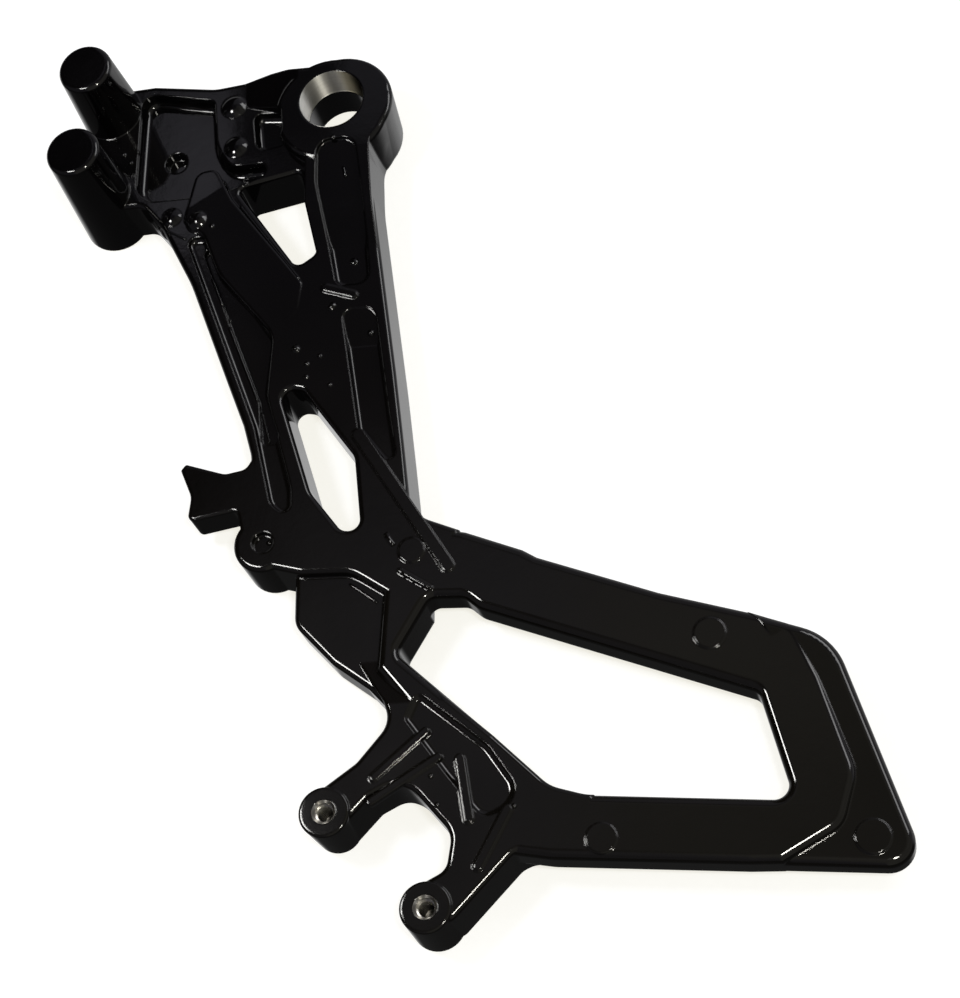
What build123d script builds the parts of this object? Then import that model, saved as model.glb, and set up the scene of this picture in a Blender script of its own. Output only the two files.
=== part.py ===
"""Cast footrest hanger for a motorcycle, in millimetres.

The plate lies flat, its hidden outer side down, as it would lie on a bench.
The origin is the centre of the main bore's front face, and +Z points along the
bore, out of the side that faces the frame. +Y runs up towards the bore from
the footrest pad, and +X runs back along the heel guard.
"""
import os
from math import atan2, degrees, radians, sin, tan

from build123d import *

# Levels, along Z.
BORE_FACE = 0.0
BACK = -28.5
ARM_FRONT = -6.5
WEB_FLOOR = -13.0
POST_TOP = 26.0
PAD_FRONT = -10.5
PAD_BACK = -24.5
GUARD_FRONT = -6.5
GUARD_BACK = -18.5
CORNER_FRONT = -9.5
HOOK_BACK = -20.0
LUG_FACE = -5.5

# Main bore and its boss. The machined seat ends at a small step inside.
BORE = (0.0, 0.0)
BORE_R = 12.5
BORE_SEAT_DEPTH = 13.6
BORE_REAR_R = 12.1
# The boss is two drafted drums, each given by its centre and its radius at the
# front and at the back.
BOSS = ((0.0, -4.0), 22.7, 20.2)
BOSS_SIDE = ((3.7, -1.6), 20.3, 18.2)

# Two lugs of the fork, tapped for the brake cylinder's bolts.
LUG_A = (2.8, -282.9)
LUG_B = (38.6, -317.9)
LUG_R = 9.0
LUG_A_FOOT_R = 8.3
LUG_B_FOOT_R = 9.6
LUG_TAP_R = 3.4
LUG_TAP_DEPTH = 20.0
LUG_CHAMFER = 0.8

# Two posts that stand towards the frame.
POST_A = (-91.3, 9.2)
POST_B = (-93.8, -27.4)
POST_TIP_R = 10.4
POST_FOOT_R = 13.2

# Footrest boss on the hidden side of the pad, with its threaded hole.
PEG = (14.0, -212.0)
PEG_BOSS_R = 13.5
PEG_TAP_R = 4.25
PEG_TAP_DEPTH = 13.0

# Small boss beside the pad, and the dimple in the web.
NUB = (-22.8, -180.7)
NUB_R = 11.0
NUB_DIMPLE_R = 4.0
NUB_DIMPLE_DEPTH = 2.5
WEB_DIMPLE = (-65.6, -13.2)
WEB_DIMPLE_R = 4.5
WEB_DIMPLE_DEPTH = 5.0

# Cast edges.
EDGE_R = 1.8
GUARD_EDGE_R = 3.0
RECESS_R = 2.5
CHANNEL_R = 1.8

# Outlines. Each corner is x, y and the radius that rounds it.
BODY = [
    (-99.1, -35.5, 6.0),
    (-100.0, 12.0, 6.0),
    (-90.0, 18.9, 5.0),
    (-74.0, 19.5, 6.0),
    (-49.0, 15.4, 16.0),
    (-25.6, 17.6, 10.0),
    (4.0, 16.6, 0.0),
    (13.6, -8.0, 0.0),
    (15.3, -38.4, 60.0),
    (25.4, -116.4, 90.0),
    (28.8, -146.0, 20.0),
    (31.8, -173.6, 13.0),
    (49.5, -181.3, 0.0),
    (41.0, -202.8, 0.0),
    (25.5, -205.3, 3.0),
    (10.0, -194.7, 12.0),
    (-8.2, -193.9, 3.0),
    (-22.2, -189.9, 0.0),
    (-31.0, -176.0, 0.0),
    (-28.5, -146.0, 12.0),
    (-32.1, -132.8, 10.0),
    (-39.1, -114.3, 20.0),
    (-55.2, -71.0, 60.0),
    (-67.9, -45.8, 10.0),
    (-76.8, -34.7, 6.0),
]
TRIANGLE_WINDOW = [
    (-38.6, -31.6, 2.5),
    (-13.2, -26.7, 2.5),
    (-5.9, -63.0, 4.0),
    (-13.8, -68.4, 3.5),
]
LONG_WINDOW = [
    (-19.0, -118.6, 4.0),
    (-9.6, -120.7, 3.5),
    (10.4, -149.0, 7.0),
    (13.3, -178.8, 4.0),
    (6.0, -177.9, 4.5),
    (-5.8, -161.9, 12.0),
]
GUARD = [
    (35.9, -178.6, 0.0),
    (51.6, -182.0, 6.0),
    (72.1, -190.5, 3.0),
    (77.1, -193.7, 4.0),
    (119.8, -210.4, 30.0),
    (152.2, -220.6, 0.0),
    (166.0, -225.9, 8.0),
    (174.0, -245.0, 14.0),
    (184.0, -279.0, 14.0),
    (178.5, -297.0, 10.0),
    (157.9, -308.6, 0.0),
    (146.9, -308.2, 30.0),
    (80.9, -303.0, 20.0),
    (62.1, -299.6, 0.0),
    (44.0, -262.0, 0.0),
    (20.0, -232.0, 0.0),
    (22.0, -200.0, 0.0),
]
GUARD_CORNER = [
    (150.0, -219.8, 0.0),
    (161.6, -224.3, 25.0),
    (178.5, -230.4, 22.0),
    (204.7, -312.2, 9.0),
    (156.9, -308.4, 0.0),
    (168.0, -294.0, 0.0),
    (172.0, -286.0, 0.0),
    (164.0, -250.0, 0.0),
]
GUARD_WINDOW = [
    (38.7, -206.3, 4.0),
    (51.2, -207.0, 5.0),
    (56.4, -211.6, 8.0),
    (152.6, -249.0, 4.0),
    (162.7, -287.3, 5.0),
    (93.0, -281.4, 20.0),
    (80.8, -277.6, 14.0),
    (61.3, -258.4, 20.0),
    (27.0, -226.2, 4.0),
]
# The corner's front starts level with the guard and falls away to the corner.
CORNER_SLOPE = ((149.0, -219.0, -6.0), (196.0, -305.0, CORNER_FRONT))
# Wedges cut from behind at the guard's roots: x of the foot and of the end, then
# y of the side and the length from there.
GUARD_ROOTS = [(30.0, 49.6, -170.0, 36.0), (70.0, 96.0, -274.0, 32.0)]
PAD = [
    (-11.4, -189.0, 0.0),
    (-11.2, -211.7, 8.0),
    (3.3, -227.5, 15.0),
    (16.3, -237.3, 4.0),
    (23.3, -245.0, 0.0),
    (37.0, -240.0, 0.0),
    (37.0, -196.0, 0.0),
]
FORK = [
    (13.5, -228.0, 0.0),
    (22.6, -243.6, 4.0),
    (25.1, -251.7, 9.0),
    (13.5, -265.5, 10.0),
    (-1.4, -276.0, 0.0),
    (8.3, -288.8, 0.0),
    (18.3, -278.1, 4.0),
    (27.2, -273.6, 8.0),
    (33.7, -276.4, 10.0),
    (47.2, -292.4, 8.5),
    (45.3, -304.9, 6.0),
    (32.3, -311.5, 0.0),
    (45.1, -325.2, 5.0),
    (69.2, -299.6, 8.0),
    (96.0, -299.5, 0.0),
    (96.0, -281.65, 0.0),
    (93.0, -281.4, 20.0),
    (80.8, -277.6, 14.0),
    (61.3, -258.4, 20.0),
    (27.7, -228.0, 0.0),
]
FORK_SLOPE_TOP = -245.0
FORK_SLOPE_FOOT = -228.0
HOOK = [
    (-27.1, -145.4, 0.0),
    (-30.4, -150.8, 4.0),
    (-38.2, -152.1, 6.0),
    (-53.3, -146.8, 1.0),
    (-55.2, -149.1, 1.0),
    (-50.7, -160.1, 8.0),
    (-51.8, -170.3, 2.5),
    (-33.0, -167.2, 2.0),
    (-31.1, -176.0, 0.0),
    (-22.0, -176.0, 0.0),
]

# Recesses in the front.
WEB_RECESS = [
    (-79.5, -29.0, 8.0),
    (-79.0, 16.0, 5.0),
    (-70.0, 14.4, 4.0),
    (-49.0, 9.6, 3.0),
    (-47.0, -12.0, 20.0),
    (-41.0, -21.5, 6.0),
    (-25.0, -21.0, 3.0),
    (-28.0, -27.0, 3.0),
    (-45.0, -33.5, 6.0),
    (-73.0, -33.5, 5.0),
]
WEB_POCKET = [
    (-33.0, 1.5, 3.0),
    (-20.0, 0.0, 3.0),
    (-19.0, -14.0, 4.0),
    (-31.0, -16.0, 4.0),
]
UPPER_CHANNEL = [
    (-5.4, -17.5, 6.0),
    (9.8, -17.5, 6.0),
    (12.4, -44.0, 30.0),
    (15.4, -78.6, 5.0),
    (2.2, -78.4, 4.0),
    (-6.0, -35.0, 20.0),
]
LOWER_CHANNEL = [
    (4.2, -88.0, 4.0),
    (17.5, -89.0, 5.0),
    (23.5, -133.0, 40.0),
    (28.0, -160.5, 3.0),
    (11.8, -138.5, 3.0),
]
LEFT_CHANNEL = [
    (-58.0, -51.5, 3.0),
    (-50.0, -51.5, 3.0),
    (-43.0, -70.0, 8.0),
    (-21.5, -96.5, 10.0),
    (-23.0, -122.0, 10.0),
    (-12.8, -160.0, 12.0),
    (-12.5, -173.0, 3.0),
    (-20.5, -166.0, 8.0),
    (-27.5, -134.6, 25.0),
]
LEFT_CHANNEL_BED = [
    (-51.8, -56.0, 2.7),
    (-43.0, -56.0, 2.7),
    (-39.5, -72.0, 8.0),
    (-22.5, -97.5, 6.0),
    (-24.5, -120.0, 6.0),
    (-17.2, -141.0, 2.7),
    (-25.2, -141.0, 2.7),
    (-26.5, -124.0, 10.0),
    (-37.0, -96.0, 20.0),
]
FORK_RECESS = [
    (34.5, -240.5, 3.0),
    (30.0, -251.0, 3.0),
    (45.0, -272.0, 6.0),
    (58.0, -289.0, 6.0),
    (73.0, -281.5, 8.0),
    (60.0, -262.0, 16.0),
]
WEB_POCKET_FLOOR = -10.5
UPPER_CHANNEL_FLOOR = -8.7
LOWER_CHANNEL_FLOOR = -9.0
LEFT_CHANNEL_FLOOR = -8.5
LEFT_CHANNEL_BED_FLOOR = -10.5
FORK_FLOOR = -8.0
# Both channels of the right arm get shallower towards their upper ends.
UPPER_CHANNEL_SLOPE = ((3.0, -22.0, -2.2), (3.0, -62.0, UPPER_CHANNEL_FLOOR))
LOWER_CHANNEL_SLOPE = ((12.0, -86.0, -6.2), (12.0, -104.0, LOWER_CHANNEL_FLOOR))

# Shoulder that leads from the boss into the right arm. It is wider in front than
# behind, and its front falls from the bore's face to the arm. Slopes are given by
# a point at their top and one at their foot.
SHOULDER_FRONT = [
    (12.0, 0.0, 0.0),
    (21.5, -6.5, 0.0),
    (15.0, -19.0, 18.0),
    (15.9, -45.0, 60.0),
    (18.3, -66.0, 0.0),
    (-5.4, -66.0, 0.0),
    (-10.4, -42.0, 0.0),
    (-9.5, -12.0, 0.0),
]
SHOULDER_BACK = [
    (12.0, 0.0, 0.0),
    (19.3, -8.5, 0.0),
    (14.5, -19.0, 14.0),
    (15.2, -38.4, 60.0),
    (18.3, -66.0, 0.0),
    (-5.4, -66.0, 0.0),
    (-10.4, -42.0, 0.0),
    (-9.5, -12.0, 0.0),
]
ARM_SLOPE = ((3.0, -22.0, BORE_FACE), (3.0, -62.0, ARM_FRONT))
WEB_SHOULDER = [
    (-8.0, 16.4, 0.0),
    (-25.6, 16.8, 10.0),
    (-40.0, 15.6, 0.0),
    (-40.0, 6.0, 0.0),
    (-8.0, -4.0, 0.0),
]
WEB_SLOPE = ((-14.0, 8.0, BORE_FACE), (-36.0, 8.0, ARM_FRONT))

# Raised crest of the diagonal strut. Its upper end runs up into the web's recess,
# and its front falls away towards the place where the arms meet.
STRUT = [
    (-59.0, -44.0, 3.0),
    (-54.5, -23.5, 5.0),
    (-46.5, -22.5, 4.0),
    (-39.5, -37.0, 3.0),
    (-10.7, -75.8, 3.0),
    (-12.0, -88.0, 3.0),
    (-20.8, -97.6, 3.0),
    (-44.0, -69.0, 20.0),
    (-50.5, -52.0, 10.0),
]
STRUT_SLOPE = ((-48.0, -34.0, -4.6), (-16.0, -88.0, -6.4))

# Low ribs: start, end, width and the crest's level.
RIBS = [
    ((12.0, -141.0), (45.5, -195.0), 5.0, -6.0),
    ((20.0, -271.5), (38.0, -256.0), 3.0, -5.8),
    ((19.0, -280.0), (42.5, -265.5), 3.0, -5.9),
    ((50.0, -266.5), (53.2, -288.0), 3.6, -6.0),
    ((66.5, -285.5), (56.5, -304.5), 3.6, -5.9),
    ((-2.0, -79.0), (9.0, -83.0), 3.2, -5.7),
    ((28.3, -195.8), (39.3, -203.1), 1.8, -5.8),
]
RIB_EDGE_R = 0.4

# Rounded lumps on the web: x, y, radius and the level of the crest.
LUMPS = [
    (-39.5, -13.0, 8.0, -5.0),
    (-41.0, 5.5, 8.0, -4.6),
    (-64.0, -41.5, 7.0, -5.2),
    (-53.0, -44.5, 5.5, -3.4),
]

# Round pads left by the mould: x, y, radius and level.
MOULD_PADS = [
    (137.0, -227.3, 5.6, GUARD_FRONT + 0.4),
    (187.6, -301.0, 6.0, CORNER_FRONT + 0.7),
    (98.3, -297.3, 5.4, GUARD_FRONT + 0.4),
    (32.3, -188.2, 4.8, ARM_FRONT + 0.4),
]


def outline(corners):
    """A flat face whose corners are rounded."""
    turns = []
    for i, (x, y, r) in enumerate(corners):
        corner = Vector(x, y)
        back = (Vector(*corners[i - 1][:2]) - corner).normalized()
        ahead = (Vector(*corners[(i + 1) % len(corners)][:2]) - corner).normalized()
        half = radians(back.get_angle(ahead) / 2)
        inward = (back + ahead).normalized()
        middle = corner + inward * (r / sin(half) - r)
        turns.append((corner + back * (r / tan(half)), middle, corner + ahead * (r / tan(half))))
    with BuildSketch() as flat:
        with BuildLine():
            for i, (start, middle, end) in enumerate(turns):
                if corners[i][2] > 0:
                    ThreePointArc(start, middle, end)
                Line(end, turns[(i + 1) % len(turns)][0])
        make_face()
    return flat.sketch


def plate(corners, low, high, edge, holes=()):
    """A flat block from low to high, its front edges rounded."""
    with BuildPart() as block:
        with BuildSketch(Plane.XY.offset(low)):
            add(outline(corners))
            for hole in holes:
                add(outline(hole), mode=Mode.SUBTRACT)
        extrude(amount=high - low)
        if edge > 0:
            fillet(block.edges().group_by(Axis.Z)[-1], edge)
    return block.part


def recess(corners, floor, edge, fall=None):
    """A tool that cuts a recess with a rounded floor, which may slope at one end."""
    with BuildPart() as tool:
        with BuildSketch(Plane.XY.offset(floor)):
            add(outline(corners))
        extrude(amount=BORE_FACE + 1.0 - floor)
        if edge > 0:
            fillet(tool.edges().group_by(Axis.Z)[0], edge)
        if fall:
            split(bisect_by=tilted(*fall), keep=Keep.TOP)
    return tool.part


def rib(start, end, width, crest):
    """A low rib between two points, its crest softened."""
    a = Vector(*start)
    b = Vector(*end)
    with BuildPart() as block:
        with BuildSketch(Plane.XY.offset(ARM_FRONT - 2.0)):
            with Locations((a + b) / 2):
                SlotCenterToCenter((b - a).length, width, rotation=degrees(atan2(b.Y - a.Y, b.X - a.X)))
        extrude(amount=crest - ARM_FRONT + 2.0)
        fillet(block.edges().group_by(Axis.Z)[-1], RIB_EDGE_R)
    return block.part


def tilted(top, foot):
    """A plane through top and foot, level across the line between them."""
    a = Vector(*top)
    b = Vector(*foot)
    return Plane(origin=a, z_dir=Vector(b.Y - a.Y, a.X - b.X, 0).cross(b - a))


def slope(corners, fall, low, edge):
    """A block from low upwards, whose front falls from a level top along a slope."""
    with BuildPart() as block:
        with BuildSketch(Plane.XY.offset(low)):
            add(outline(corners))
        extrude(amount=fall[0][2] - low)
        split(bisect_by=tilted(*fall), keep=Keep.BOTTOM)
        fillet(block.faces().sort_by(Axis.Z)[-1].edges(), edge)
    return block.part


def shoulder():
    """The drafted shoulder of the right arm, under its sloping front."""
    with BuildPart() as block:
        with BuildSketch(Plane.XY.offset(BACK)):
            add(outline(SHOULDER_BACK))
        with BuildSketch(Plane.XY.offset(BORE_FACE)):
            add(outline(SHOULDER_FRONT))
        loft()
        split(bisect_by=tilted(*ARM_SLOPE), keep=Keep.BOTTOM)
    return block.part


def fork():
    """The fork, whose front falls to the pad's level where it meets the pad."""
    with BuildPart() as block:
        add(plate(FORK, BACK, ARM_FRONT, EDGE_R))
        with BuildSketch(Plane.YZ):
            with BuildLine():
                Polyline(
                    (FORK_SLOPE_TOP, ARM_FRONT),
                    (FORK_SLOPE_FOOT, PAD_FRONT),
                    (FORK_SLOPE_FOOT + 10, PAD_FRONT),
                    (FORK_SLOPE_FOOT + 10, BORE_FACE),
                    (FORK_SLOPE_TOP, BORE_FACE),
                    close=True,
                )
            make_face()
        extrude(amount=60, mode=Mode.SUBTRACT)
    return block.part


def thinning(foot, end, side, length):
    """A wedge under the heel guard's roots, that thins them to the guard's back."""
    with BuildPart() as wedge:
        with BuildSketch(Plane.XZ.offset(-side)):
            with BuildLine():
                Polyline(
                    (foot, BACK),
                    (end, GUARD_BACK),
                    (end + 1, GUARD_BACK),
                    (end + 1, BACK - 1),
                    (foot, BACK - 1),
                    close=True,
                )
            make_face()
        extrude(amount=length)
    return wedge.part


def column(centre, tip_r, foot_r, top, edge):
    """A drafted round column that stands on the back face, with a softened tip."""
    with BuildPart() as block:
        with Locations((centre[0], centre[1], BACK)):
            Cone(foot_r, tip_r, top - BACK, align=(Align.CENTER, Align.CENTER, Align.MIN))
        fillet(block.edges().group_by(Axis.Z)[-1], edge)
    return block.part


def boss(centre, radius, low, high, edge):
    """A round boss from low to high, its front edge softened."""
    with BuildPart() as block:
        with Locations((centre[0], centre[1], low)):
            Cylinder(radius, high - low, align=(Align.CENTER, Align.CENTER, Align.MIN))
        if edge > 0:
            fillet(block.edges().group_by(Axis.Z)[-1], edge)
    return block.part


def drilled(centre, radius, depth, mouth, chamfer):
    """A tool for a hole straight down from the level of its mouth."""
    with BuildPart() as drill:
        with Locations((centre[0], centre[1], mouth)):
            Cylinder(radius, depth, align=(Align.CENTER, Align.CENTER, Align.MAX))
            Cylinder(radius + chamfer, 1.0, align=(Align.CENTER, Align.CENTER, Align.MIN))
            if chamfer > 0:
                Cone(radius, radius + chamfer, chamfer, align=(Align.CENTER, Align.CENTER, Align.MAX))
    return drill.part


with BuildPart() as hanger_casting:
    # Arms and web in one block, with both small windows through it.
    add(plate(BODY, BACK, ARM_FRONT, EDGE_R, [TRIANGLE_WINDOW, LONG_WINDOW]))
    # Boss of the main bore, and the slopes that lead down from its face.
    add(column(*BOSS, BORE_FACE, EDGE_R))
    add(column(*BOSS_SIDE, BORE_FACE, EDGE_R))
    add(shoulder())
    add(slope(WEB_SHOULDER, WEB_SLOPE, BACK, EDGE_R))
    # Recesses in the front.
    add(recess(WEB_RECESS, WEB_FLOOR, RECESS_R), mode=Mode.SUBTRACT)
    add(recess(WEB_POCKET, WEB_POCKET_FLOOR, RECESS_R), mode=Mode.SUBTRACT)
    add(recess(UPPER_CHANNEL, UPPER_CHANNEL_FLOOR, CHANNEL_R, UPPER_CHANNEL_SLOPE), mode=Mode.SUBTRACT)
    add(recess(LOWER_CHANNEL, LOWER_CHANNEL_FLOOR, CHANNEL_R, LOWER_CHANNEL_SLOPE), mode=Mode.SUBTRACT)
    add(recess(LEFT_CHANNEL, LEFT_CHANNEL_FLOOR, CHANNEL_R), mode=Mode.SUBTRACT)
    add(recess(LEFT_CHANNEL_BED, LEFT_CHANNEL_BED_FLOOR, 0), mode=Mode.SUBTRACT)
    # Crest of the strut and the lumps, kept above the back face.
    add(slope(STRUT, STRUT_SLOPE, WEB_FLOOR - 3.0, 1.0))
    for x, y, radius, crest in LUMPS:
        with Locations((x, y, crest - radius)):
            Sphere(radius)
    with Locations((0, 0, BACK)):
        Box(400, 400, 20, align=(Align.CENTER, Align.CENTER, Align.MAX), mode=Mode.SUBTRACT)
    # Heel guard, footrest pad, fork and hook.
    add(slope(GUARD_CORNER, CORNER_SLOPE, GUARD_BACK, GUARD_EDGE_R))
    add(plate(GUARD, GUARD_BACK, GUARD_FRONT, GUARD_EDGE_R, [GUARD_WINDOW]))
    add(plate(PAD, PAD_BACK, PAD_FRONT, EDGE_R, [GUARD_WINDOW]))
    add(fork())
    add(recess(FORK_RECESS, FORK_FLOOR, RECESS_R), mode=Mode.SUBTRACT)
    add(plate(HOOK, HOOK_BACK, ARM_FRONT, 1.0))
    for root in GUARD_ROOTS:
        add(thinning(*root), mode=Mode.SUBTRACT)
    # Ribs over the arms and the fork.
    for start, end, width, crest in RIBS:
        add(rib(start, end, width, crest))
    # Posts, lugs, small boss and footrest boss.
    for foot in (POST_A, POST_B):
        add(column(foot, POST_TIP_R, POST_FOOT_R, POST_TOP, EDGE_R))
    add(column(LUG_A, LUG_R, LUG_A_FOOT_R, LUG_FACE, 0.8))
    add(column(LUG_B, LUG_R, LUG_B_FOOT_R, LUG_FACE, 0.8))
    add(boss(NUB, NUB_R, BACK, ARM_FRONT, EDGE_R))
    add(boss(PEG, PEG_BOSS_R, BACK, PAD_FRONT, 0))
    for x, y, radius, level in MOULD_PADS:
        add(boss((x, y), radius, GUARD_BACK, level, 0))
    # Holes.
    add(drilled(BORE, BORE_R, BORE_SEAT_DEPTH, BORE_FACE, 0), mode=Mode.SUBTRACT)
    add(drilled(BORE, BORE_REAR_R, BORE_FACE - BACK, BORE_FACE, 0), mode=Mode.SUBTRACT)
    for centre in (LUG_A, LUG_B):
        add(drilled(centre, LUG_TAP_R, LUG_TAP_DEPTH, LUG_FACE, LUG_CHAMFER), mode=Mode.SUBTRACT)
    add(drilled(NUB, NUB_DIMPLE_R, NUB_DIMPLE_DEPTH, ARM_FRONT, 0), mode=Mode.SUBTRACT)
    add(drilled(WEB_DIMPLE, WEB_DIMPLE_R, WEB_DIMPLE_DEPTH, WEB_FLOOR, 0), mode=Mode.SUBTRACT)
    with Locations((PEG[0], PEG[1], BACK)):
        Cylinder(PEG_TAP_R, PEG_TAP_DEPTH, align=(Align.CENTER, Align.CENTER, Align.MIN), mode=Mode.SUBTRACT)


if __name__ == "__main__":
    os.makedirs("parts", exist_ok=True)
    hanger_casting.part.label = "hanger_casting"
    export_step(hanger_casting.part, "parts/hanger_casting.step")
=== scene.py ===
"""Looks for the cast footrest hanger: gloss black paint, bare metal in the holes, light and camera.

Lengths are in metres, in the CAD's frame, unless a comment says millimetres or pixels.
"""
import math

import bmesh
import bpy
from mathutils import Matrix, Vector
from mathutils.bvhtree import BVHTree


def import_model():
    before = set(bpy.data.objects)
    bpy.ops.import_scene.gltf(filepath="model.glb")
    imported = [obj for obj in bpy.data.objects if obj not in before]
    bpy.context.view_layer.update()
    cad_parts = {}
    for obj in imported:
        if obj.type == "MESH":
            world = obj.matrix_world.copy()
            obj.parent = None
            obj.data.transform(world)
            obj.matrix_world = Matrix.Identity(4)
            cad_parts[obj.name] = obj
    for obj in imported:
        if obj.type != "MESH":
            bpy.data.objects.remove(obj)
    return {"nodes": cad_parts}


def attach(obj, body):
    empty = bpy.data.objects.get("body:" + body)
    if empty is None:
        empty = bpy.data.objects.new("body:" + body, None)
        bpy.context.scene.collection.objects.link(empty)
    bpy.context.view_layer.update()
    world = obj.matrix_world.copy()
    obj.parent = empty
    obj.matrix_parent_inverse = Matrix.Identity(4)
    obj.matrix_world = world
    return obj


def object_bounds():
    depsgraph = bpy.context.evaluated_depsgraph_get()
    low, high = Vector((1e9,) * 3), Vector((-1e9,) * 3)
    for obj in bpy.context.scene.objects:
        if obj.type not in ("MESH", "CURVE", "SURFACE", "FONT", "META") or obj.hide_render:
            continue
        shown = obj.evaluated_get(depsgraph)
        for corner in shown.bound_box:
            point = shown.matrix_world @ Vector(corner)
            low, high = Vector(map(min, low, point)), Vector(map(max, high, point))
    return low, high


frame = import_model()
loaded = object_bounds()

MM = 0.001

# Places and sizes of the casting that the looks need, in millimetres.
BORE_R = 12.5
BORE_SEAT_DEPTH = 13.6
LUG_A = (2.8, -282.9)
LUG_B = (38.6, -317.9)
LUG_FACE = -5.5
LUG_HOLE_R = 4.25
TAP_R = 3.4


class Graph:
    """A few short calls for building a node tree."""

    def __init__(self, tree):
        self.tree = tree
        tree.nodes.clear()

    def put(self, socket, value):
        """Links a socket to the input, or sets a constant on it."""
        if isinstance(value, bpy.types.NodeSocket):
            self.tree.links.new(value, socket)
        else:
            socket.default_value = value

    def node(self, kind, settings=None, **inputs):
        """A shader node. An underscore in an input's name stands for a space."""
        n = self.tree.nodes.new("ShaderNode" + kind)
        for key, value in (settings or {}).items():
            setattr(n, key, value)
        for key, value in inputs.items():
            self.put(n.inputs[key.replace("_", " ")], value)
        return n

    def math(self, operation, a, b):
        n = self.node("Math", {"operation": operation})
        self.put(n.inputs[0], a)
        self.put(n.inputs[1], b)
        return n.outputs[0]

    def vector(self, operation, a, b=(0, 0, 0)):
        n = self.node("VectorMath", {"operation": operation})
        self.put(n.inputs[0], a)
        self.put(n.inputs[1], b)
        return n.outputs["Value" if operation in ("LENGTH", "DISTANCE") else "Vector"]

    def ramp(self, value, span, levels=(0.0, 1.0)):
        """Goes softly from the first level to the second as value crosses the span."""
        return self.node(
            "MapRange",
            {"interpolation_type": "SMOOTHSTEP"},
            Value=value,
            From_Min=span[0],
            From_Max=span[1],
            To_Min=levels[0],
            To_Max=levels[1],
        ).outputs["Result"]

    def mix(self, factor, first, second):
        n = self.node("Mix", {"data_type": "RGBA"})
        # The node has inputs of the same names for each type, so they are found after the type.
        self.put(n.inputs["Factor"], factor)
        self.put(n.inputs["A"], first)
        self.put(n.inputs["B"], second)
        return n.outputs["Result"]

    def separate(self, vector):
        outputs = self.node("SeparateXYZ", Vector=vector).outputs
        return outputs["X"], outputs["Y"], outputs["Z"]

    def noise(self, where, scale, detail=2.0, rough=0.5):
        return self.node(
            "TexNoise", Vector=where, Scale=scale, Detail=detail, Roughness=rough
        ).outputs["Fac"]

    def blend(self, factor, first, second):
        """Mixes two shaders."""
        n = self.node("MixShader", Fac=factor)
        self.put(n.inputs[1], first)
        self.put(n.inputs[2], second)
        return n.outputs[0]


def new_material(name):
    material = bpy.data.materials.new(name)
    material.use_nodes = True
    return material, Graph(material.node_tree)


def add_object(name, data):
    made = bpy.data.objects.new(name, data)
    bpy.context.scene.collection.objects.link(made)
    return made


def piece_from(name, work, material, smooth=False):
    """Makes a bmesh into a piece that rides on the casting's body."""
    bmesh.ops.recalc_face_normals(work, faces=work.faces)
    mesh = bpy.data.meshes.new(name)
    work.to_mesh(mesh)
    work.free()
    if smooth:
        mesh.shade_smooth()
    mesh.materials.append(material)
    piece = add_object(name, mesh)
    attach(piece, "root")


def stitch(work, first, second):
    """Joins two closed rings of points with a band of faces."""
    for k in range(len(first)):
        m = (k + 1) % len(first)
        work.faces.new((first[k], first[m], second[m], second[k]))


def whole_turn(sides):
    return [2 * math.pi * k / sides for k in range(sides)]


# Paint. Each pair is its darkest and lightest colour, which clouds of noise mix.
PAINT_COOL = ((0.0009, 0.0008, 0.0010, 1), (0.0021, 0.0018, 0.0021, 1))
PAINT_WARM = ((0.0021, 0.0017, 0.0012, 1), (0.0040, 0.0034, 0.0027, 1))
COOL_SPAN = (-0.25, -0.02)
CLOUD_SCALE = 28.0
PAINT_ROUGH_SPAN = (0.3, 0.7)
PAINT_ROUGH = (0.05, 0.09)
PAINT_IOR = 1.5
EDGE_ROUNDING = 1.1 * MM
EDGE_SAMPLES = 8
PEEL = {"Strength": 0.13, "Distance": 0.00013}
PEEL_SCALE = 220.0
GRAIN = {"Strength": 0.10, "Distance": 0.00005}
GRAIN_SCALE = 900.0

# Bare metal. Each pair is mixed by the turning marks. The seat's second pair and the single colour
# after it are painted shade: darker copies of the seat's metal for its right side.
SEAT_METAL = ((0.42, 0.41, 0.38, 1), (0.80, 0.79, 0.75, 1))
SEAT_PAINTED_SHADE = ((0.10, 0.09, 0.06, 1), (0.22, 0.20, 0.15, 1))
SEAT_DEEP_PAINTED_SHADE = (0.025, 0.023, 0.016, 1)
LUG_METAL = ((0.20, 0.19, 0.17, 1), (0.52, 0.50, 0.46, 1))
# Spans across the bore, from left to right, over which the seat's painted shade and then its deeper
# painted shade come in.
SEAT_SHADE_SPAN = (-0.25, 0.40)
SEAT_DEEP_SHADE_SPAN = (0.45, 0.85)
TURNED_SCALE = (30, 30, 9000)
GROOVE = {"Strength": 0.30, "Distance": 0.00006}
# How far the bare metal reaches past the seat's wall and its step, in millimetres.
SEAT_PAST_WALL = 0.12
SEAT_PAST_STEP = 0.05


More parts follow.
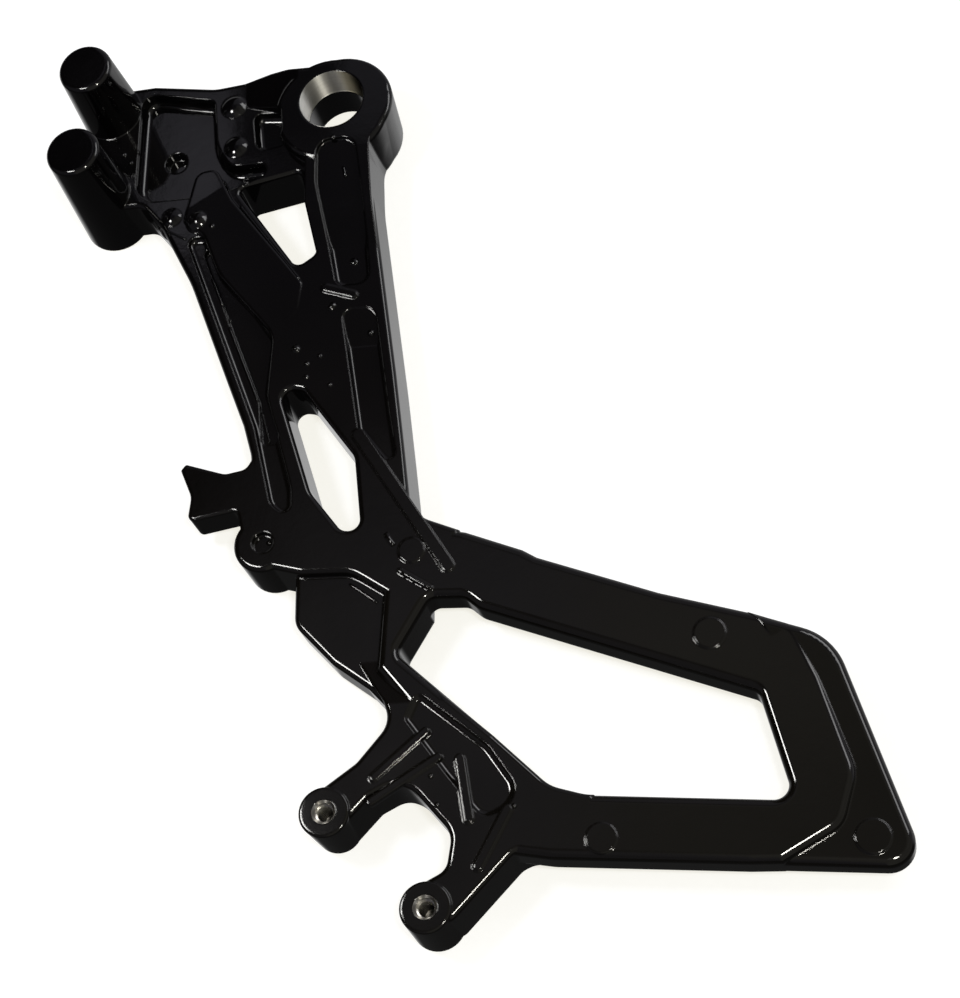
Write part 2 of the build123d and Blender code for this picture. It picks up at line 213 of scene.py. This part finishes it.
def casting_material():
    """Gloss black paint, and bare turned metal in the bore's seat and the holes of the lugs."""
    material, g = new_material("black_paint_on_casting")
    place = g.node("TexCoord").outputs["Object"]
    flat = g.vector("MULTIPLY", place, (1, 1, 0))
    _, y, z = g.separate(place)

    in_bore = g.math("LESS_THAN", g.vector("LENGTH", flat), (BORE_R + SEAT_PAST_WALL) * MM)
    in_seat = g.math("GREATER_THAN", z, -(BORE_SEAT_DEPTH + SEAT_PAST_STEP) * MM)
    seat = g.math("MULTIPLY", in_bore, in_seat)
    is_bare = seat
    for at in (LUG_A, LUG_B):
        from_hole = g.vector("DISTANCE", flat, (at[0] * MM, at[1] * MM, 0))
        in_hole = g.math("LESS_THAN", from_hole, LUG_HOLE_R * MM)
        is_bare = g.math("MAXIMUM", is_bare, in_hole)

    # Paint: warmer down the part, with a faint orange peel over rounded edges.
    cloud = g.noise(place, CLOUD_SCALE)
    cool = g.ramp(y, COOL_SPAN)
    dark = g.mix(cool, PAINT_WARM[0], PAINT_COOL[0])
    light = g.mix(cool, PAINT_WARM[1], PAINT_COOL[1])
    rounded = g.node("Bevel", {"samples": EDGE_SAMPLES}, Radius=EDGE_ROUNDING).outputs["Normal"]
    peel = g.node("Bump", Height=g.noise(place, PEEL_SCALE), Normal=rounded, **PEEL)
    speckle = g.noise(place, GRAIN_SCALE, 3.0, 0.6)
    grain = g.node("Bump", Height=speckle, Normal=peel.outputs["Normal"], **GRAIN)
    coat = g.node(
        "BsdfPrincipled",
        Base_Color=g.mix(cloud, dark, light),
        Roughness=g.ramp(cloud, PAINT_ROUGH_SPAN, PAINT_ROUGH),
        IOR=PAINT_IOR,
        Normal=grain.outputs["Normal"],
    )

    # Metal: turning marks round the bore, in the metal's own colour to the left, with painted shade
    # darkening the right side of the seat and deeper painted shade far to the right.
    turned = g.noise(g.vector("MULTIPLY", place, TURNED_SCALE), 1.0, 2.0, 0.6)
    rightward, _, _ = g.separate(g.vector("NORMALIZE", flat))
    painted_shade = g.ramp(rightward, SEAT_SHADE_SPAN)
    metal = g.mix(painted_shade, g.mix(turned, *SEAT_METAL), g.mix(turned, *SEAT_PAINTED_SHADE))
    metal = g.mix(g.ramp(rightward, SEAT_DEEP_SHADE_SPAN), metal, SEAT_DEEP_PAINTED_SHADE)
    metal = g.mix(seat, g.mix(turned, *LUG_METAL), metal)
    groove = g.node("Bump", Height=turned, **GROOVE)
    bare = g.node(
        "BsdfPrincipled",
        Base_Color=metal,
        Metallic=1.0,
        Roughness=0.52,
        Anisotropic=1.0,
        Anisotropic_Rotation=0.25,
        Tangent=g.vector("CROSS_PRODUCT", (0, 0, 1), flat),
        Normal=groove.outputs["Normal"],
    )
    g.node("OutputMaterial", Surface=g.blend(is_bare, coat.outputs[0], bare.outputs[0]))
    return material


casting = frame["nodes"]["hanger_casting"]
paint = casting_material()
casting.data.materials.clear()
casting.data.materials.append(paint)
for polygon in casting.data.polygons:
    polygon.material_index = 0


# Camera, worked out from the photograph's parallel walls. The focal length is in pixels, and the
# sensor's size, for the picture's longer side, is in millimetres.
PICTURE = (960, 998)
EYE = Vector((0.2179, -0.5290, 0.7916))
AHEAD = Vector((-0.1807, 0.4030, -0.8972)).normalized()
LEVEL = Vector((0.9803, 0.0, -0.1974)).normalized()
UPWARD = LEVEL.cross(AHEAD).normalized()
RIGHT = AHEAD.cross(UPWARD)
FOCAL = 2500.0
SENSOR = 36.0
CLIP = (0.05, 20.0)

skin = BVHTree.FromPolygons(
    [v.co for v in casting.data.vertices], [p.vertices for p in casting.data.polygons]
)


def on_skin(pixel):
    """The point and the outward normal of the casting under a pixel of the photograph."""
    right = (pixel[0] - PICTURE[0] / 2) / FOCAL
    down = (pixel[1] - PICTURE[1] / 2) / FOCAL
    ray = AHEAD + RIGHT * right - UPWARD * down
    place, normal, _, _ = skin.ray_cast(EYE, ray.normalized())
    return place, normal


# Marks of the mould. Their feet lie under the skin, and their rounded tops start just below it.
FOOT = 0.35 * MM
TOP_START = 0.02 * MM
RIDGE_SPANS = 10
RIDGE_STEP = 0.8 * MM
RIDGE_LEAST_STEPS = 6
RIDGE_RUN_OUT = 0.6
RIDGE_END = 0.02
DOME_SIDES = 24
DOME_ROWS = 6

# Low ridges: ends in pixels of the photograph, width and height in millimetres.
RIDGES = [
    ((240, 206), (300, 280), 1.5, 0.45),
    ((212, 278), (223, 307), 1.4, 0.45),
    ((229, 327), (258, 402), 1.4, 0.40),
    ((262, 412), (270, 444), 1.2, 0.30),
    ((167, 231), (187, 240), 1.3, 0.40),
    ((343, 166), (346, 178), 1.6, 0.50),
    ((329, 311), (335, 302), 3.0, 0.90),
    ((349, 584), (378, 603), 1.3, 0.45),
    ((401, 572), (429, 588), 1.6, 0.50),
    ((385, 533), (394, 546), 2.6, 0.60),
]
# Small round spots: pixel, radius and height in millimetres.
SPOTS = [
    ((296, 349), 2.2, 0.95),
    ((307, 364), 1.5, 0.70),
    ((306, 377), 1.5, 0.70),
    ((320, 356), 1.4, 0.65),
    ((330, 385), 1.4, 0.70),
    ((230, 321), 1.1, 0.50),
    ((371, 333), 1.7, 0.75),
    ((354, 262), 2.2, 0.50),
    ((333, 137), 1.4, 0.60),
    ((269, 543), 1.3, 0.60),
    ((514, 806), 1.3, 0.60),
    ((431, 776), 1.3, 0.60),
    ((437, 805), 1.3, 0.60),
    ((405, 577), 0.9, 0.50),
    ((414, 582), 0.9, 0.50),
    ((423, 587), 0.9, 0.50),
    ((212, 226), 1.5, 0.60),
    ((124, 155), 1.5, 0.70),
    ((131, 163), 1.3, 0.60),
    ((139, 153), 1.4, 0.60),
]


def arch(part):
    """Height share of a mark's rounded section, for part from -1 to 1 across it."""
    return math.cos(part * math.pi / 2) ** 2


def ridge(work, a, b, width, height):
    """Adds a rounded ridge on the skin from pixel a to pixel b, with its ends run out."""
    start, _ = on_skin(a)
    end, _ = on_skin(b)
    length = (end - start).length
    steps = max(RIDGE_LEAST_STEPS, round(length / RIDGE_STEP))
    rings = []
    for i in range(steps + 1):
        t = i / steps
        place, normal = on_skin((a[0] + (b[0] - a[0]) * t, a[1] + (b[1] - a[1]) * t))
        side = (end - start).normalized().cross(normal).normalized()
        half = side * width / 2
        run_out = min(1.0, min(t, 1 - t) * length / (RIDGE_RUN_OUT * width) + RIDGE_END)
        ring = [work.verts.new(place - half - normal * FOOT)]
        for k in range(RIDGE_SPANS + 1):
            part = 2 * k / RIDGE_SPANS - 1
            rise = height * run_out * arch(part) - TOP_START
            ring.append(work.verts.new(place + half * part + normal * rise))
        ring.append(work.verts.new(place + half - normal * FOOT))
        rings.append(ring)
    for first, second in zip(rings, rings[1:]):
        stitch(work, first, second)
    work.faces.new(rings[0])
    work.faces.new(reversed(rings[-1]))


def dome(work, at, radius, height):
    """Adds a low rounded spot on the skin at a pixel."""
    place, normal = on_skin(at)
    side = normal.orthogonal().normalized()
    other = normal.cross(side)
    spokes = [side * math.cos(t) + other * math.sin(t) for t in whole_turn(DOME_SIDES)]
    rings = []
    for j in range(DOME_ROWS):
        part = 1 - j / DOME_ROWS
        rise = height * arch(part) - TOP_START if j else -FOOT
        rings.append([work.verts.new(place + s * radius * part + normal * rise) for s in spokes])
    top = work.verts.new(place + normal * height)
    for first, second in zip(rings, rings[1:]):
        stitch(work, first, second)
    for k in range(DOME_SIDES):
        work.faces.new((rings[-1][k], rings[-1][(k + 1) % DOME_SIDES], top))
    work.faces.new(reversed(rings[0]))


marks = bmesh.new()
for a, b, width, height in RIDGES:
    ridge(marks, a, b, width * MM, height * MM)
for at, radius, height in SPOTS:
    dome(marks, at, radius * MM, height * MM)
piece_from("cast_marks", marks, paint, smooth=True)


# Thread of the lug holes, in millimetres. The sleeve starts below the hole's countersink.
THREAD_PITCH = 1.25
THREAD_DEPTH = 0.6
THREAD_TOP = LUG_FACE - 1.2
THREAD_LENGTH = 12.5
THREAD_SIDES = 40
CREST_HALF = 0.15
ROOT_INSET = 0.02
WALL_LAP = 0.05
TOP_GAP = 0.3
TOP_BEVEL = 0.2


def thread(name, at):
    """A lathed sleeve in a tapped hole, with the grooves of its thread."""
    crest = TAP_R - THREAD_DEPTH
    level = THREAD_TOP - THREAD_LENGTH
    outline = [(TAP_R + WALL_LAP, level), (crest, level)]
    while level + THREAD_PITCH < THREAD_TOP - TOP_GAP:
        outline += [
            (crest, level + CREST_HALF),
            (TAP_R - ROOT_INSET, level + THREAD_PITCH / 2),
            (crest, level + THREAD_PITCH - CREST_HALF),
        ]
        level += THREAD_PITCH
    outline.append((TAP_R + WALL_LAP, level + TOP_BEVEL))
    work = bmesh.new()
    rows = []
    for r, z in outline:
        ring = [(at[0] + r * math.cos(t), at[1] + r * math.sin(t), z)
                for t in whole_turn(THREAD_SIDES)]
        rows.append([work.verts.new(Vector(c) * MM) for c in ring])
    for first, second in zip(rows, rows[1:] + rows[:1]):
        stitch(work, first, second)
    piece_from(name, work, thread_metal)


def thread_material():
    """Freshly cut aluminium."""
    material, g = new_material("cut_aluminium")
    fine = g.noise(g.node("TexCoord").outputs["Object"], 1500.0, 3.0, 0.6)
    burr = g.node("Bump", Strength=0.4, Distance=0.00005, Height=fine)
    shell = g.node(
        "BsdfPrincipled",
        Base_Color=g.mix(fine, (0.22, 0.21, 0.18, 1), (0.62, 0.60, 0.55, 1)),
        Metallic=1.0,
        Roughness=0.24,
        Normal=burr.outputs["Normal"],
    )
    g.node("OutputMaterial", Surface=shell.outputs[0])
    return material


thread_metal = thread_material()
thread("thread_upper", LUG_A)
thread("thread_lower", LUG_B)


# Lamps.
CENTRE = Vector((0.04, -0.15, -0.01))
BROAD_LAMP = CENTRE + Vector((0.58, 0.54, 0.61)).normalized() * 1.3


def area_light(name, place, target, width, height, power, colour=(1, 1, 1)):
    """A soft box at place that shines at target."""
    data = bpy.data.lights.new(name, "AREA")
    data.shape = "RECTANGLE"
    data.size = width
    data.size_y = height
    data.energy = power
    data.color = colour
    lamp = add_object(name, data)
    lamp.location = place
    lamp.rotation_mode = "QUATERNION"
    lamp.rotation_quaternion = (Vector(target) - Vector(place)).to_track_quat("-Z", "Y")
    lamp.visible_camera = False


# Broad soft box, for the grey lines on edges turned to the right.
area_light("lamp_right", place=BROAD_LAMP, target=CENTRE, width=0.95, height=0.40, power=5.0)
# Small lamp over the left side, for the bright lines on edges turned down and to the left.
area_light(
    "lamp_left",
    place=(-0.33, -0.09, 0.76),
    target=(-0.02, -0.10, 0.0),
    width=0.15,
    height=0.15,
    power=2.8,
    colour=(1.0, 0.99, 0.96),
)
# Small lamp beside the camera, for the bright lines on edges turned down and to the right.
area_light(
    "lamp_front",
    place=(0.34, -0.50, 0.90),
    target=(0.03, -0.20, 0.0),
    width=0.10,
    height=0.10,
    power=3.6,
    colour=(1.0, 0.97, 0.88),
)


# What the gloss mirrors. Across and along say where a mirrored ray meets a level plane one unit
# above the object: across follows x and along follows y. Each span runs from no effect to full.
LOWEST_RISE = 0.05
# The room's own brightness, in soft clouds.
ROOM_CLOUD_SCALE = 3.2
ROOM_CLOUD_SPAN = (0.3, 0.75)
ROOM_LEVELS = (0.15, 0.22)
# Darker band that the arms mirror.
DIP_RISE = (0.38, 0.53)
DIP_FALL = (0.68, 0.60)
DIP_DEPTH = 0.62
# Darker towards the near side, which the heel guard mirrors.
NEAR_SPAN = (0.27, 0.38)
NEAR_LEVEL = 0.72
# Darker at the left, which the web and the posts mirror.
LEFT_SPAN = (-0.385, -0.25)
# Darker corner that the sloped floors of the channels mirror.
CORNER_ALONG = (0.262, 0.225)
CORNER_ACROSS = (-0.12, -0.19)
CORNER_DEPTH = 0.66
# Brighter far to the right and towards the front.
SIDE_ACROSS = (0.05, 0.6)
SIDE_ALONG = (0.15, -0.4)
SIDE_GAIN = 0.12
# Soft patch that the web's floor mirrors.
PATCH_LEFT = (-0.374, -0.364)
PATCH_RIGHT = (-0.300, -0.308)
PATCH_NEAR = (0.585, 0.597)
PATCH_FAR = (0.700, 0.690)
PATCH_FADE = (0.61, 0.68)
PATCH_LEVELS = (0.46, 0.34)
# Tints of the room's near and far ends.
ROOM_WARM = (1.03, 1.0, 0.90, 1)
ROOM_COOL = (0.97, 0.95, 1.08, 1)
COOL_ALONG = (0.34, 0.52)
# Table below: dark in front, pale behind and a little dimmer far behind.
TABLE_BEHIND = (-0.05, 0.35)
TABLE_LEVELS = (0.04, 0.66)
TABLE_FAR = (0.46, 0.58)
TABLE_FAR_SHARE = 0.62
HORIZON_SPAN = (-0.03, 0.12)
# Even light of the room on matt surfaces.
MATT_LEVEL = (0.40, 0.40, 0.41, 1)
WHITE = (1, 1, 1, 1)


def world():
    """White behind the object. In its gloss, a dim room above and a table lit from behind below."""
    room_world = bpy.data.worlds.new("room")
    bpy.context.scene.world = room_world
    room_world.use_nodes = True
    g = Graph(room_world.node_tree)
    path = g.node("LightPath").outputs
    way = g.node("TexCoord").outputs["Generated"]
    x, y, z = g.separate(way)
    rise = g.math("MAXIMUM", z, LOWEST_RISE)
    across = g.math("DIVIDE", x, rise)
    along = g.math("DIVIDE", y, rise)

    def less(level, share):
        """The level, less a share of it."""
        return g.math("MULTIPLY", level, g.math("SUBTRACT", 1.0, share))

    dip = g.math("MULTIPLY", g.ramp(along, DIP_RISE, (0.0, DIP_DEPTH)), g.ramp(along, DIP_FALL))
    in_corner = g.ramp(across, CORNER_ACROSS)
    corner = g.math("MULTIPLY", g.ramp(along, CORNER_ALONG, (0.0, CORNER_DEPTH)), in_corner)
    dim = less(g.ramp(along, NEAR_SPAN, (NEAR_LEVEL, 1.0)), dip)
    dim = g.math("MULTIPLY", dim, g.ramp(across, LEFT_SPAN))
    dim = less(dim, corner)
    clouds = g.noise(way, ROOM_CLOUD_SCALE)
    dim = g.math("MULTIPLY", dim, g.ramp(clouds, ROOM_CLOUD_SPAN, ROOM_LEVELS))
    beside = g.math("MAXIMUM", g.ramp(across, SIDE_ACROSS), g.ramp(along, SIDE_ALONG))
    ceiling = g.math("ADD", dim, g.math("MULTIPLY", beside, SIDE_GAIN))

    patch = g.math("MULTIPLY", g.ramp(across, PATCH_LEFT), g.ramp(across, PATCH_RIGHT))
    for span in (PATCH_NEAR, PATCH_FAR):
        patch = g.math("MULTIPLY", patch, g.ramp(along, span))
    patch = g.math("MULTIPLY", patch, g.ramp(along, PATCH_FADE, PATCH_LEVELS))

    is_cool = g.math("MAXIMUM", g.ramp(along, COOL_ALONG), in_corner)
    total = g.math("ADD", ceiling, patch)
    grey = g.node("CombineXYZ", X=total, Y=total, Z=total).outputs[0]
    room = g.vector("MULTIPLY", grey, g.mix(is_cool, ROOM_WARM, ROOM_COOL))

    far_behind = g.ramp(y, TABLE_FAR, (1.0, TABLE_FAR_SHARE))
    table = g.math("MULTIPLY", g.ramp(y, TABLE_BEHIND, TABLE_LEVELS), far_behind)
    table = g.node("CombineXYZ", X=table, Y=table, Z=table).outputs[0]
    mirrored = g.mix(g.ramp(z, HORIZON_SPAN), table, room)

    unseen = g.node(
        "Background", Color=g.mix(path["Is Diffuse Ray"], mirrored, MATT_LEVEL), Strength=1.0
    )
    backdrop = g.node("Background", Color=WHITE, Strength=1.0)
    seen = g.math("MAXIMUM", path["Is Camera Ray"], path["Is Transmission Ray"])
    g.node("OutputWorld", Surface=g.blend(seen, unseen.outputs[0], backdrop.outputs[0]))


world()


# Dim level cards above the object, seen only by its gloss.
CARD_HEIGHT = 0.40
CARD_ARM = ((-0.175, 0.055), (-0.02, 0.238), (0.050, 0.048, 0.056, 1))
CARD_WEB = ((-0.172, 0.239), (-0.106, 0.31), (0.035, 0.035, 0.040, 1))


def card(name, low, high, colour):
    """A glowing card. low and high are its corners in x and y."""
    material, g = new_material(name)
    glow = g.node("Emission", Color=colour, Strength=1.0)
    g.node("OutputMaterial", Surface=glow.outputs[0])
    mesh = bpy.data.meshes.new(name)
    corners = [(low[0], low[1]), (high[0], low[1]), (high[0], high[1]), (low[0], high[1])]
    mesh.from_pydata([(x, y, CARD_HEIGHT) for x, y in corners], [], [range(4)])
    mesh.materials.append(material)
    plate = add_object(name, mesh)
    for ray in ("camera", "diffuse", "transmission", "shadow", "volume_scatter"):
        setattr(plate, "visible_" + ray, False)


card("card_arm", *CARD_ARM)
card("card_web", *CARD_WEB)


FLOOR_R = 3.0
FLOOR_SIDES = 48
FLOOR_GAP = 0.0004
FLOOR_CLOTH = ((0.26, 0.28, 0.37, 1), (0.32, 0.34, 0.43, 1))
FLOOR_GLOW = (0.80, 0.78, 0.69, 1)
FLOOR_FADE = (0.24, 0.50)
BLACK = (0, 0, 0, 1)


def floor():
    """A pale round floor that keeps a faint shadow of the object and fades to white round it."""
    material, g = new_material("pale_floor")
    place = g.node("TexCoord").outputs["Object"]
    away = g.ramp(g.vector("LENGTH", g.vector("SUBTRACT", place, CENTRE)), FLOOR_FADE)
    cloth = g.mix(g.noise(place, 400.0, 3.0, 0.6), *FLOOR_CLOTH)
    shaded = g.node("BsdfDiffuse", Color=g.mix(away, cloth, BLACK))
    glow = g.node("Emission", Color=g.mix(away, FLOOR_GLOW, WHITE), Strength=1.0)
    both = g.node("AddShader")
    g.put(both.inputs[0], shaded.outputs[0])
    g.put(both.inputs[1], glow.outputs[0])
    # Seen from below it is clear, so the hidden side shows.
    is_back = g.node("NewGeometry").outputs["Backfacing"]
    clear = g.node("BsdfTransparent")
    g.node("OutputMaterial", Surface=g.blend(is_back, both.outputs[0], clear.outputs[0]))
    under = loaded[0][2] - FLOOR_GAP
    rim = [(FLOOR_R * math.cos(t), FLOOR_R * math.sin(t), under) for t in whole_turn(FLOOR_SIDES)]
    mesh = bpy.data.meshes.new("floor")
    mesh.from_pydata(rim, [], [range(FLOOR_SIDES)])
    mesh.materials.append(material)
    plate = add_object("floor", mesh)
    plate.visible_glossy = False
    plate.visible_diffuse = False
    plate.visible_shadow = False


floor()

camera_data = bpy.data.cameras.new("camera")
camera_data.sensor_width = SENSOR
camera_data.lens = SENSOR * FOCAL / PICTURE[1]
camera_data.clip_start, camera_data.clip_end = CLIP
camera = add_object("camera", camera_data)
camera.matrix_world = Matrix((RIGHT, UPWARD, -AHEAD)).transposed().to_4x4()
camera.location = EYE
bpy.context.scene.camera = camera
bpy.context.scene.view_settings.view_transform = "Standard"
